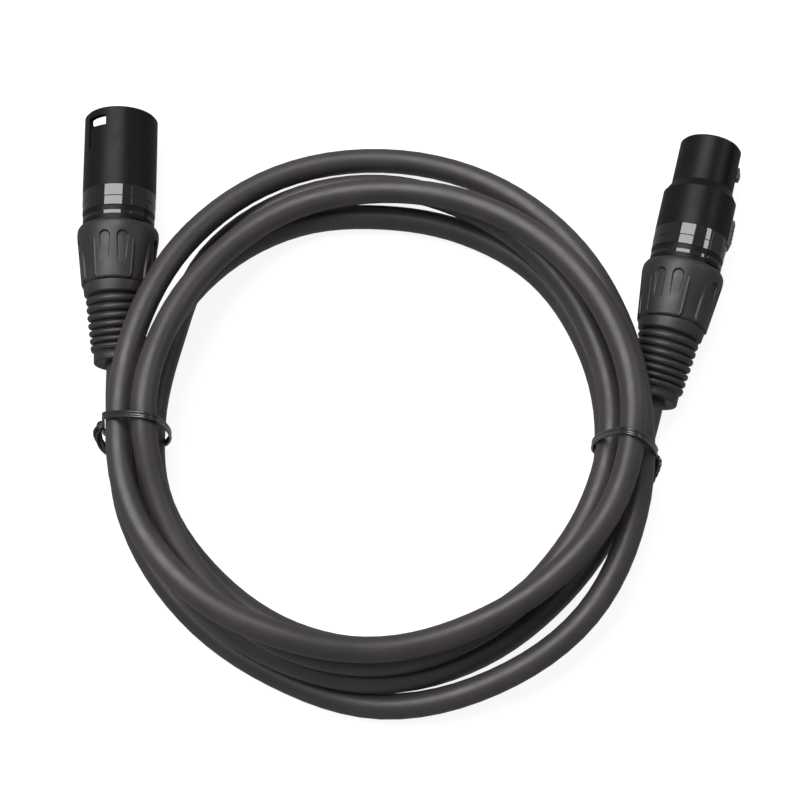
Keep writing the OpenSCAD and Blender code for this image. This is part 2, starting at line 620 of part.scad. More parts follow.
module tie_left() tie(left_tie_turn, [each strands_at(left_tie_turn, 1, 3), left_lead], left_knot_z, 1);
right_tie_turn = 352;
right_knot_z = 12.5;
right_lead = [coil_r + right_place[0] * swell, right_place[1] * swell];
module tie_right() tie(right_tie_turn, [each strands_at(right_tie_turn, 0, 3), right_lead], right_knot_z, -1);

male_shell();
male_insert();
male_pin_1();
male_pin_2();
male_pin_3();
male_chuck();
male_bushing();
male_bend_relief();
male_core_hot();
male_core_cold();
male_shield_drain();
female_shell();
female_insert();
female_socket_1();
female_socket_2();
female_socket_3();
female_latch();
female_latch_pin();
female_latch_spring();
female_chuck();
female_bushing();
female_bend_relief();
female_core_hot();
female_core_cold();
female_shield_drain();
cable_coil();
cable_lead_male();
cable_lead_female();
tie_left();
tie_right();
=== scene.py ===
"""Looks of a wound microphone cable with its two connectors, boots and twist ties."""
import logging
import math
from dataclasses import dataclass, field, replace
from enum import Enum
from typing import Iterable, Sequence

import bpy
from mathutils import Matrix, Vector


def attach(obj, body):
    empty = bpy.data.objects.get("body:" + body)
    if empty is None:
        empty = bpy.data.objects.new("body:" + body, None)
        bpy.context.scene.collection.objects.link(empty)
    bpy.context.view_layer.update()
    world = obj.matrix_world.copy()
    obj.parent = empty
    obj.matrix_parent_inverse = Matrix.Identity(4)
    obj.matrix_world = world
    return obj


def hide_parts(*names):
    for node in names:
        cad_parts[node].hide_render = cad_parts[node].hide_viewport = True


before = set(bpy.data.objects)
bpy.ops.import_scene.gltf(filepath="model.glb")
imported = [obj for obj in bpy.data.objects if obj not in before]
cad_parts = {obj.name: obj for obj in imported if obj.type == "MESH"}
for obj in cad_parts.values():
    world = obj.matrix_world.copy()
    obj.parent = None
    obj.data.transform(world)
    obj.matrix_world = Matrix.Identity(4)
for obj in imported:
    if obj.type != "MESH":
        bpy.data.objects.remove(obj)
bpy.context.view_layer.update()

logging.basicConfig(level=logging.INFO, format="%(levelname)s %(message)s")
LOG = logging.getLogger("cable")

MM = 0.001
CABLE_BODY = "cable_body"
Colour = tuple[float, float, float]
Point = tuple[float, float, float]
Pair = tuple[float, float]
BeltPoint = tuple[float, float, float]
Tree = bpy.types.NodeTree
Socket = bpy.types.NodeSocket


# --------------------------------------------------------------------------- small maths


def clamp(t: float) -> float:
    """Hold a value between 0 and 1."""
    return min(1.0, max(0.0, t))


def smooth(t: float) -> float:
    """Ease from 0 to 1."""
    t = clamp(t)
    return t * t * (3 - 2 * t)


def ramp(t: float, points: Sequence[Pair]) -> float:
    """Read a broken line.

    Args:
        t: where to read it.
        points: (place, value) pairs in rising order.

    Returns:
        The value at t, held flat beyond the ends.
    """
    if t <= points[0][0]:
        return points[0][1]
    for (a, va), (b, vb) in zip(points, points[1:]):
        if t <= b:
            return va + (vb - va) * (t - a) / (b - a) if b > a else vb
    return points[-1][1]


def through(a: float, b: float, c: float, d: float, f: float) -> float:
    """Value at fraction f of a smooth curve from b to c, which comes from a and goes on to d."""
    return 0.5 * (2 * b + (c - a) * f + (2 * a - 5 * b + 4 * c - d) * f * f
                  + (3 * b - a - 3 * c + d) * f**3)


def hermite(a: Vector, ta: Vector, b: Vector, tb: Vector, f: float) -> Vector:
    """Find a point of a smooth span between two points.

    Args:
        a: first point.
        ta: direction of the span there.
        b: last point.
        tb: direction of the span there.
        f: fraction of the span that lies behind the point.

    Returns:
        The point.
    """
    reach = (b - a).length
    return (
        (2 * f**3 - 3 * f**2 + 1) * a
        + (f**3 - 2 * f**2 + f) * reach * ta
        + (3 * f**2 - 2 * f**3) * b
        + (f**3 - f**2) * reach * tb
    )


# --------------------------------------------------------------------------- finishes


class Grain(Enum):
    """Kinds of fine surface relief: scale per metre, octaves of noise and stretch along Y."""

    CABLE = (900.0, 3.0, 1.0)
    MOULDED = (2600.0, 0.0, 1.0)
    LACQUER = (420.0, 2.0, 1.0)
    TURNED = (300.0, 4.0, 14.0)
    FILM = (260.0, 2.0, 1.0)


@dataclass(frozen=True)
class Polish:
    """Polished lengths of a turned piece.

    Attributes:
        base: point on the piece's axis from which places are measured, in metres.
        heading: direction of the axis.
        lengths: where each polished length begins and ends, in metres.
        roughness: their roughness.
        specular: their specular level.
        coat: weight of their clear coat.
        fade: half the width of the change at their ends, in metres.
    """

    base: Point
    heading: Point
    lengths: tuple[Pair, ...]
    roughness: float = 0.05
    specular: float = 0.6
    coat: float = 0.25
    fade: float = 0.04 * MM


@dataclass(frozen=True)
class Finish:
    """One surface finish, made of shader nodes from the piece's own coordinates.

    Attributes:
        name: material name.
        tone: main colour.
        tone_b: colour that it drifts to in soft patches.
        roughness: lowest and highest roughness.
        grain: kind of fine relief.
        bump: strength of the relief.
        metallic: 0 or 1.
        specular: specular level.
        coat: weight of a clear coat.
        coat_roughness: roughness of that coat.
        polish: polished lengths, if any.
        patches: scale per metre and octaves of the soft patches of colour.
        scuffs: scale per metre and octaves of the change in roughness.
        noise_span: noise values between which colour and roughness change.
        bump_depth: depth that the bump stands for, in metres.
    """

    name: str
    tone: Colour
    tone_b: Colour
    roughness: Pair
    grain: Grain
    bump: float = 0.2
    metallic: float = 0.0
    specular: float = 0.5
    coat: float = 0.0
    coat_roughness: float = 0.08
    polish: Polish | None = None
    patches: Pair = (55.0, 5.0)
    scuffs: Pair = (240.0, 6.0)
    noise_span: Pair = (0.35, 0.65)
    bump_depth: float = 0.0002

    def _outside(self, tree: Tree, coord: Socket, polish: Polish) -> Socket:
        """Tell the polished lengths from the rest.

        Args:
            tree: the material's nodes.
            coord: object coordinates.
            polish: where the polish is.

        Returns:
            A value socket: 0 on the polished lengths and 1 elsewhere.
        """
        away = tree.nodes.new("ShaderNodeVectorMath")
        away.operation = "SUBTRACT"
        away.inputs[1].default_value = polish.base
        tree.links.new(coord, away.inputs[0])
        along = tree.nodes.new("ShaderNodeVectorMath")
        along.operation = "DOT_PRODUCT"
        along.inputs[1].default_value = polish.heading
        tree.links.new(away.outputs["Vector"], along.inputs[0])
        place, fade = along.outputs["Value"], polish.fade
        masks = []
        for first, last in polish.lengths:
            before = self._mapped(tree, place, first - fade, first + fade, 1.0, 0.0)
            after = self._mapped(tree, place, last - fade, last + fade, 0.0, 1.0)
            masks.append(self._joined(tree, "ADD", before, after))
        outside = masks[0]
        for mask in masks[1:]:
            outside = self._joined(tree, "MULTIPLY", outside, mask)
        return outside

    def _polish(self, tree: Tree, shader: bpy.types.Node, outside: Socket, rough: Socket,
                polish: Polish) -> None:
        """Link the shader so that some lengths of the piece are polished.

        Args:
            tree: the material's nodes.
            shader: the surface shader.
            outside: 0 on the polished lengths and 1 elsewhere.
            rough: roughness elsewhere.
            polish: its values.
        """
        mix = tree.nodes.new("ShaderNodeMix")
        factor, inside, beyond, result = mix.inputs[0], mix.inputs[2], mix.inputs[3], mix.outputs[0]
        inside.default_value = polish.roughness
        tree.links.new(outside, factor)
        tree.links.new(rough, beyond)
        for name in ("Roughness", "Coat Roughness"):
            tree.links.new(result, shader.inputs[name])
        specular = self._mapped(tree, outside, 0.0, 1.0, polish.specular, self.specular)
        tree.links.new(specular, shader.inputs["Specular IOR Level"])
        coat = self._mapped(tree, outside, 0.0, 1.0, polish.coat, self.coat)
        tree.links.new(coat, shader.inputs["Coat Weight"])

    def _noise(self, tree: Tree, vector: Socket, scale: float, detail: float,
               stretch: float = 1.0) -> Socket:
        """Add a noise texture.

        Args:
            tree: the material's nodes.
            vector: coordinates.
            scale: noise scale per metre.
            detail: noise octaves.
            stretch: factor on the Y coordinate.

        Returns:
            The noise value.
        """
        mapping = tree.nodes.new("ShaderNodeMapping")
        mapping.inputs["Scale"].default_value = (1.0, stretch, 1.0)
        tree.links.new(vector, mapping.inputs["Vector"])
        noise = tree.nodes.new("ShaderNodeTexNoise")
        noise.inputs["Scale"].default_value = scale
        noise.inputs["Detail"].default_value = detail
        tree.links.new(mapping.outputs["Vector"], noise.inputs["Vector"])
        return noise.outputs["Fac"]

    def _joined(self, tree: Tree, operation: str, one: Socket, other: Socket) -> Socket:
        """Join two values.

        Args:
            tree: the material's nodes.
            operation: "ADD" or "MULTIPLY".
            one: first value.
            other: second value.

        Returns:
            The result.
        """
        node = tree.nodes.new("ShaderNodeMath")
        node.operation = operation
        tree.links.new(one, node.inputs[0])
        tree.links.new(other, node.inputs[1])
        return node.outputs["Value"]

    def _mapped(self, tree: Tree, value: Socket, low: float, high: float, out_low: float,
                out_high: float) -> Socket:
        """Map a value from one range to another, held at its ends.

        Args:
            tree: the material's nodes.
            value: the value.
            low: beginning of its range.
            high: end of its range.
            out_low: result at low.
            out_high: result at high.

        Returns:
            The result.
        """
        node = tree.nodes.new("ShaderNodeMapRange")
        ends = {"From Min": low, "From Max": high, "To Min": out_low, "To Max": out_high}
        for name, number in ends.items():
            node.inputs[name].default_value = number
        tree.links.new(value, node.inputs["Value"])
        return node.outputs["Result"]

    def _relief(self, tree: Tree, coord: Socket) -> Socket:
        """Height of the fine relief.

        Args:
            tree: the material's nodes.
            coord: object coordinates.

        Returns:
            A value socket between 0 and 1.
        """
        scale, detail, stretch = self.grain.value
        if self.grain is not Grain.MOULDED:
            return self._noise(tree, coord, scale, detail, stretch)
        cells = tree.nodes.new("ShaderNodeTexVoronoi")
        cells.inputs["Scale"].default_value = scale
        tree.links.new(coord, cells.inputs["Vector"])
        return cells.outputs["Distance"]

    def material(self) -> bpy.types.Material:
        """Make the material, once.

        Returns:
            The material, which may be there already.
        """
        if self.name in bpy.data.materials:
            return bpy.data.materials[self.name]
        mat = bpy.data.materials.new(self.name)
        mat.use_nodes = True
        tree = mat.node_tree
        shader = tree.nodes["Principled BSDF"]
        coord = tree.nodes.new("ShaderNodeTexCoord").outputs["Object"]
        patches = self._noise(tree, coord, *self.patches)
        mix = tree.nodes.new("ShaderNodeMix")
        mix.data_type = "RGBA"
        factor, first, second, result = mix.inputs[0], mix.inputs[6], mix.inputs[7], mix.outputs[2]
        first.default_value = (*self.tone, 1.0)
        second.default_value = (*self.tone_b, 1.0)
        tree.links.new(self._mapped(tree, patches, *self.noise_span, 0.0, 1.0), factor)
        tree.links.new(result, shader.inputs["Base Color"])
        scuffs = self._noise(tree, coord, *self.scuffs)
        rough = self._mapped(tree, scuffs, *self.noise_span, *self.roughness)
        tree.links.new(rough, shader.inputs["Roughness"])
        bump = tree.nodes.new("ShaderNodeBump")
        bump.inputs["Strength"].default_value = self.bump
        bump.inputs["Distance"].default_value = self.bump_depth
        tree.links.new(self._relief(tree, coord), bump.inputs["Height"])
        tree.links.new(bump.outputs["Normal"], shader.inputs["Normal"])
        shader.inputs["Metallic"].default_value = self.metallic
        shader.inputs["Specular IOR Level"].default_value = self.specular
        shader.inputs["Coat Weight"].default_value = self.coat
        shader.inputs["Coat Roughness"].default_value = self.coat_roughness
        if self.polish:
            self._polish(tree, shader, self._outside(tree, coord, self.polish), rough, self.polish)
        return mat

    def dress(self, node: str) -> None:
        """Put this finish on a CAD node.

        Args:
            node: the node's name.
        """
        thing = bpy.data.objects[node]
        for slot in thing.material_slots:
            slot.material = self.material()
        if not thing.material_slots:
            thing.data.materials.append(self.material())


@dataclass(frozen=True)
class Palette:
    """All finishes of the object."""

    jacket: Finish = Finish("jacket_rubber", (0.033, 0.0286, 0.0284), (0.043, 0.0372, 0.0369), (0.40, 0.48),
                            Grain.CABLE, 0.10, specular=0.44)
    boot: Finish = Finish("boot_rubber", (0.018, 0.0158, 0.0150), (0.023, 0.0205, 0.0195), (0.42, 0.52),
                          Grain.MOULDED, 0.12, specular=0.45)
    shell: Finish = Finish("black_lacquer_shell", (0.0065, 0.006, 0.0061), (0.0085, 0.0078, 0.008),
                           (0.34, 0.42), Grain.LACQUER, 0.02, specular=0.12)
    insert: Finish = Finish("insert_nylon", (0.020, 0.020, 0.021), (0.028, 0.027, 0.027), (0.38, 0.48),
                            Grain.MOULDED, 0.15)
    contact: Finish = Finish("silvered_contact", (0.83, 0.82, 0.79), (0.72, 0.70, 0.66), (0.18, 0.30),
                             Grain.TURNED, 0.10, metallic=1.0)
    latch: Finish = Finish("blackened_latch_steel", (0.035, 0.035, 0.037), (0.055, 0.054, 0.055),
                           (0.28, 0.40), Grain.TURNED, 0.12, metallic=0.6, specular=0.6)
    steel: Finish = Finish("spring_steel", (0.55, 0.55, 0.56), (0.44, 0.44, 0.45), (0.25, 0.38),
                           Grain.TURNED, 0.12, metallic=1.0)
    core_white: Finish = Finish("core_white_film", (0.78, 0.77, 0.73), (0.70, 0.69, 0.66), (0.35, 0.45),
                                Grain.FILM, 0.05)
    core_red: Finish = Finish("core_red_film", (0.50, 0.05, 0.04), (0.42, 0.04, 0.03), (0.35, 0.45),
                              Grain.FILM, 0.05)
    copper: Finish = Finish("drain_copper", (0.80, 0.44, 0.28), (0.66, 0.34, 0.20), (0.25, 0.40),
                            Grain.TURNED, 0.25, metallic=1.0)
    tie: Finish = Finish("twist_tie_film", (0.009, 0.009, 0.009), (0.014, 0.014, 0.014), (0.22, 0.34),
                         Grain.FILM, 0.25, specular=0.6, coat=0.35, coat_roughness=0.12)


PALETTE = Palette()


# --------------------------------------------------------------------------- meshes


def grid_mesh(name: str, rings: Sequence[Sequence[Point]], wrap_rings: bool, finish: Finish,
              caps: bool = False) -> bpy.types.Object:
    """Join rings of points into a smooth closed mesh.

    Args:
        name: object name.
        rings: rings with the same number of points each, in metres.
        wrap_rings: whether the last ring joins the first.
        finish: its material.
        caps: whether to close the first and last ring.

    Returns:
        The new object, linked to the scene.
    """
    count, wide = len(rings), len(rings[0])
    points = [p for ring in rings for p in ring]
    faces: list[tuple[int, ...]] = []
    for i in range(count if wrap_rings else count - 1):
        k = (i + 1) % count
        for j in range(wide):
            m = (j + 1) % wide
            faces.append((i * wide + j, i * wide + m, k * wide + m, k * wide + j))
    if caps:
        faces.append(tuple(range(wide - 1, -1, -1)))
        faces.append(tuple((count - 1) * wide + j for j in range(wide)))
    mesh = bpy.data.meshes.new(name)
    mesh.from_pydata(points, [], faces)
    mesh.validate()
    mesh.polygons.foreach_set("use_smooth", [True] * len(mesh.polygons))
    mesh.materials.append(finish.material())
    thing = bpy.data.objects.new(name, mesh)
    bpy.context.scene.collection.objects.link(thing)
    return thing


# --------------------------------------------------------------------------- layout


@dataclass(frozen=True)
class Seat:
    """Where a connector lies: the middle of its boot's front rim and its heading.

    Attributes:
        at: place of the rim's centre, in mm.
        yaw: turn about the vertical, in degrees.
        lean: sideways shift of the boot's end, in mm.
        clock: turn of the boot's grip pattern about the connector's axis, in degrees.
        bushing_len: length of the boot's hard bushing, in mm.
        relief_len: length of its bend relief, in mm.
        tail_drop: how far the boot's end lies below its rim, in mm.
        chuck_back: distance of the chuck's back from the rim, in mm.
    """

    at: Point
    yaw: float
    lean: float
    clock: float
    bushing_len: float = 15.6
    relief_len: float = 19.8
    tail_drop: float = 3.0
    chuck_back: float = 11.0

    def place(self, p: Sequence[float]) -> Vector:
        """Find a point of the connector in the frame.

        Args:
            p: the point from the rim's centre in mm, as x, down and forward.

        Returns:
            The point in the frame, in metres.
        """
        a = math.radians(self.yaw)
        x, down, forward = p
        return Vector((
            self.at[0] + x * math.cos(a) - forward * math.sin(a),
            self.at[1] + x * math.sin(a) + forward * math.cos(a),
            self.at[2] - down,
        )) * MM

    def heading(self, p: Sequence[float]) -> Vector:
        """Find a direction of the connector in the frame.

        Args:
            p: the direction, as x, down and forward.

        Returns:
            The direction in the frame.
        """
        a = math.radians(self.yaw)
        x, down, forward = p
        return Vector((
            x * math.cos(a) - forward * math.sin(a),
            x * math.sin(a) + forward * math.cos(a),
            -down,
        ))

    def axis(self, s: float) -> Vector:
        """Axis of the boot at distance s behind its rim, in connector coordinates."""
        t = smooth((s - self.bushing_len) / self.relief_len)
        return Vector((self.lean * t, self.tail_drop * t, -s))

    def axis_dir(self, s: float) -> Vector:
        """Direction of the boot's axis towards its end.

        Args:
            s: distance behind the rim, in mm.

        Returns:
            The direction, in connector coordinates.
        """
        t = clamp((s - self.bushing_len) / self.relief_len)
        g = 6 * t * (1 - t) / self.relief_len
        return Vector((self.lean * g, self.tail_drop * g, -1.0)).normalized()

    @property
    def end_s(self) -> float:
        """Distance from the rim to the end of the boot."""
        return self.bushing_len + self.relief_len


# in mm: the ring's centre and nominal radius, the height of the connectors' axes and the cable's radius
COIL_CENTRE = (-7.6, -3.8)
COIL_R = 65.0
AXIS_Z = 10.5
CABLE_R = 3.2
# each boot's rim lies a little outside the ring's side and some way behind its centre
MALE = Seat(at=(COIL_CENTRE[0] - COIL_R - 3.5, COIL_CENTRE[1] + 50.1, AXIS_Z), yaw=0.9, lean=0.7, clock=2.2)
FEMALE = Seat(at=(COIL_CENTRE[0] + COIL_R + 12.8, COIL_CENTRE[1] + 39.1, AXIS_Z), yaw=-14.2, lean=-0.6,
              clock=-24.5)


@dataclass(frozen=True)
class Winding:
    """How the strands of the ring lie over each other.

    Attributes:
        rows: one row for each of 16 stations round the ring, 22.5 degrees apart, with the radius and height,
            in mm, of each strand that passes there.
        first_turn: winding angle at which the ring begins, in degrees.
        last_turn: winding angle at which it ends.
    """

    rows: tuple[tuple[Pair, ...], ...] = (
        ((64.0, 18.8), (61.5, 25.4), (57.8, 11.3), (57.4, 4.2), (66.8, 7.6)),
        ((64.3, 15.9), (60.6, 23.6), (58.2, 10.1), (57.2, 3.2)),
        ((67.7, 9.6), (60.4, 19.4), (59.2, 10.2), (57.6, 3.2)),
        ((71.4, 4.4), (60.2, 15.7), (61.1, 8.7), (56.7, 3.2)),
        ((72.9, 3.3), (60.7, 12.0), (64.6, 5.3), (56.7, 3.3)),
        ((72.3, 6.2), (60.8, 11.4), (65.9, 3.4), (58.7, 4.3)),
        ((68.8, 12.7), (58.9, 15.2), (64.4, 3.2), (59.3, 8.2)),
        ((65.3, 19.1), (57.6, 21.1), (59.0, 3.3), (59.3, 14.0)),
        ((66.8, 6.7), (64.5, 20.9), (57.9, 25.1), (58.4, 4.3), (60.6, 15.0)),
        ((67.7, 4.3), (65.6, 22.3), (58.8, 20.8), (59.2, 8.4), (62.8, 14.4)),
        ((67.9, 3.6), (64.4, 24.8), (60.7, 17.5), (58.2, 5.1), (64.6, 11.5)),
        ((68.7, 3.2), (61.5, 23.3), (62.5, 16.3), (58.0, 3.4), (65.2, 9.9)),
        ((71.4, 3.9), (59.6, 19.3), (61.9, 12.5), (57.6, 3.2), (65.5, 7.0)),
        ((71.5, 8.6), (58.0, 17.1), (59.2, 10.2), (56.9, 3.2), (63.7, 3.8)),
        ((70.9, 11.5), (59.0, 18.2), (57.0, 10.9), (56.7, 3.2), (62.5, 7.0)),
        ((67.4, 14.6), (61.4, 22.3), (56.9, 11.8), (58.0, 4.2), (63.3, 8.9)),
    )
    first_turn: float = 180.0
    last_turn: float = 1800.0

    @property
    def step(self) -> float:
        """Angle between stations."""
        return 360.0 / len(self.rows)

    def pair(self, k: int) -> Pair:
        """Find the strand at a station.

        Args:
            k: number of the station, counted from angle 0 along the whole winding.

        Returns:
            Radius and height of the strand, in mm.
        """
        n = len(self.rows)
        k = min(max(k, round(self.first_turn / self.step)), round(self.last_turn / self.step))
        row = self.rows[k % n]
        return row[k // n - 1 if k % n < n // 2 else k // n]

    def lay(self, turn: float) -> Pair:
        """Find the strand at any winding angle, smoothly between the stations.

        Args:
            turn: winding angle in degrees.

        Returns:
            Radius and height of the strand, in mm.
        """
        t = turn / self.step
        k = min(math.floor(t), round(self.last_turn / self.step) - 1)
        f = t - k
        radii, heights = zip(*(self.pair(k + o) for o in (-1, 0, 1, 2)))
        return through(*radii, f), max(CABLE_R, through(*heights, f))

    def point(self, turn: float, pair: Pair | None = None) -> Vector:
        """Find a point of the cable's centre line.

        Args:
            turn: winding angle in degrees.
            pair: radius and height in mm, if the strand isn't part of the ring.

        Returns:
            The point in metres.
        """
        r, z = pair or self.lay(turn)
        a = math.radians(turn)
        return Vector((COIL_CENTRE[0] + r * math.cos(a), COIL_CENTRE[1] + r * math.sin(a), z)) * MM


WINDING = Winding()
# where each lead passes beside the ring: winding angle, then radius and height in mm
MALE_LEAD = (180.0, (66.8, 6.7))
FEMALE_LEAD = (1792.0, (65.0, 8.0))


# --------------------------------------------------------------------------- cable


@dataclass
class Cable:
    """The whole cable, from chuck to chuck, as one unbroken tube.

    Attributes:
        step: winding angle between points of the centre line.
        sides: facets round the tube.
        jacket_end: distance of the jacket's cut end from the boot's rim, in mm.
        chuck_mid: distance from the rim of the point that is laid inside the chuck, in mm.
        relief_steps: points of the centre line in a bend relief.
        boot_steps: points from a boot to where its lead passes the ring.
        male_steps: points from there to the winding, at the male end.
        female_steps: points from the winding to there, at the female end.
    """

    step: float = 3.75
    sides: int = 28
    jacket_end: float = 2.5
    chuck_mid: float = 7.0
    relief_steps: int = 8
    boot_steps: int = 6
    male_steps: int = 10
    female_steps: int = 8

    def _boot_run(self, seat: Seat) -> list[Vector]:
        """Lay the centre line inside a boot.

        Args:
            seat: where the boot lies.

        Returns:
            Points from the cut end of the jacket to the boot's end, in metres.
        """
        n = self.relief_steps
        marks = [self.jacket_end, self.chuck_mid, seat.chuck_back, seat.bushing_len]
        marks += [seat.bushing_len + seat.relief_len * i / n for i in range(1, n + 1)]
        return [seat.place(seat.axis(s)) for s in marks]

    def _route(self) -> list[Vector]:
        """Lay the centre line of the whole cable.

        Returns:
            Points from the male chuck to the female one, in metres.
        """
        start = WINDING.first_turn + WINDING.step
        stop = WINDING.last_turn - WINDING.step
        count = round((stop - start) / self.step)
        coil = [WINDING.point(start + (stop - start) * i / count) for i in range(count + 1)]
        start_dir = (coil[1] - coil[0]).normalized()
        stop_dir = (coil[-1] - coil[-2]).normalized()

        male = self._boot_run(MALE)
        out_of_boot = MALE.heading((0, 0, -1))
        left = WINDING.point(*MALE_LEAD)
        left_dir = (coil[0] - male[-1]).normalized()
        n, m = self.boot_steps, self.male_steps
        lead = [hermite(male[-1], out_of_boot, left, left_dir, i / n) for i in range(1, n + 1)]
        lead += [hermite(left, left_dir, coil[0], start_dir, i / m) for i in range(1, m)]

        female = self._boot_run(FEMALE)
        into_boot = -FEMALE.heading((0, 0, -1))
        right = WINDING.point(*FEMALE_LEAD)
        right_dir = (female[-1] - coil[-1]).normalized()
        n, m = self.boot_steps, self.female_steps
        tail = [hermite(coil[-1], stop_dir, right, right_dir, i / m) for i in range(1, m + 1)]
        tail += [hermite(right, right_dir, female[-1], into_boot, i / n) for i in range(1, n)]
        return male + lead + coil + tail + female[::-1]

    def _tube_tree(self) -> Tree:
        """Make the geometry nodes that turn a line of edges into a round tube.

        Returns:
            The node group, with the tube's radius, sides and jacket material as inputs.
        """
        tree = bpy.data.node_groups.new("cable_tube", "GeometryNodeTree")
        face = tree.interface
        face.new_socket("Geometry", in_out="INPUT", socket_type="NodeSocketGeometry")
        face.new_socket("Radius", in_out="INPUT", socket_type="NodeSocketFloat")
        face.new_socket("Sides", in_out="INPUT", socket_type="NodeSocketInt")
        face.new_socket("Jacket", in_out="INPUT", socket_type="NodeSocketMaterial")
        face.new_socket("Geometry", in_out="OUTPUT", socket_type="NodeSocketGeometry")
        new, link = tree.nodes.new, tree.links.new
        source = new("NodeGroupInput")
        sink = new("NodeGroupOutput")
        curve = new("GeometryNodeMeshToCurve")
        circle = new("GeometryNodeCurvePrimitiveCircle")
        tube = new("GeometryNodeCurveToMesh")
        shade = new("GeometryNodeSetShadeSmooth")
        real = new("GeometryNodeRealizeInstances")
        dress = new("GeometryNodeSetMaterial")
        tube.inputs["Fill Caps"].default_value = True
        link(source.outputs["Geometry"], curve.inputs["Mesh"])
        link(source.outputs["Sides"], circle.inputs["Resolution"])
        link(source.outputs["Radius"], circle.inputs["Radius"])
        link(curve.outputs["Curve"], tube.inputs["Curve"])
        link(circle.outputs["Curve"], tube.inputs["Profile Curve"])
        link(tube.outputs["Mesh"], shade.inputs["Geometry"])
        link(shade.outputs["Geometry"], real.inputs["Geometry"])
        link(real.outputs["Geometry"], dress.inputs["Geometry"])
        link(source.outputs["Jacket"], dress.inputs["Material"])
        link(dress.outputs["Geometry"], sink.inputs["Geometry"])
        return tree

    def _tube(self, path: Sequence[Point]) -> bpy.types.Mesh:
        """Make the jacket along the centre line.

        Args:
            path: points of the centre line, in metres.

        Returns:
            A plain mesh.
        """
        mesh = bpy.data.meshes.new("cable_line")
        mesh.from_pydata(path, [(i, i + 1) for i in range(len(path) - 1)], [])
        line = bpy.data.objects.new("cable_line", mesh)
        bpy.context.scene.collection.objects.link(line)
        modifier = line.modifiers.new("tube", "NODES")
        modifier.node_group = self._tube_tree()
        values = {"Radius": CABLE_R * MM, "Sides": self.sides, "Jacket": PALETTE.jacket.material()}
        for item in modifier.node_group.interface.items_tree:
            if item.in_out == "INPUT" and item.name in values:
                modifier[item.identifier] = values[item.name]
        depsgraph = bpy.context.evaluated_depsgraph_get()
        solid = bpy.data.meshes.new_from_object(line.evaluated_get(depsgraph))
        line.modifiers.clear()
        bpy.data.objects.remove(line)
        return solid

    def build(self) -> None:
        points = self._route()
        path = [tuple(p) for p in points]
        cable = bpy.data.objects.new("cable", self._tube(path))
        bpy.context.scene.collection.objects.link(cable)
        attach(cable, CABLE_BODY)
        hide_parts("cable_coil", "cable_lead_male", "cable_lead_female")


# --------------------------------------------------------------------------- boots


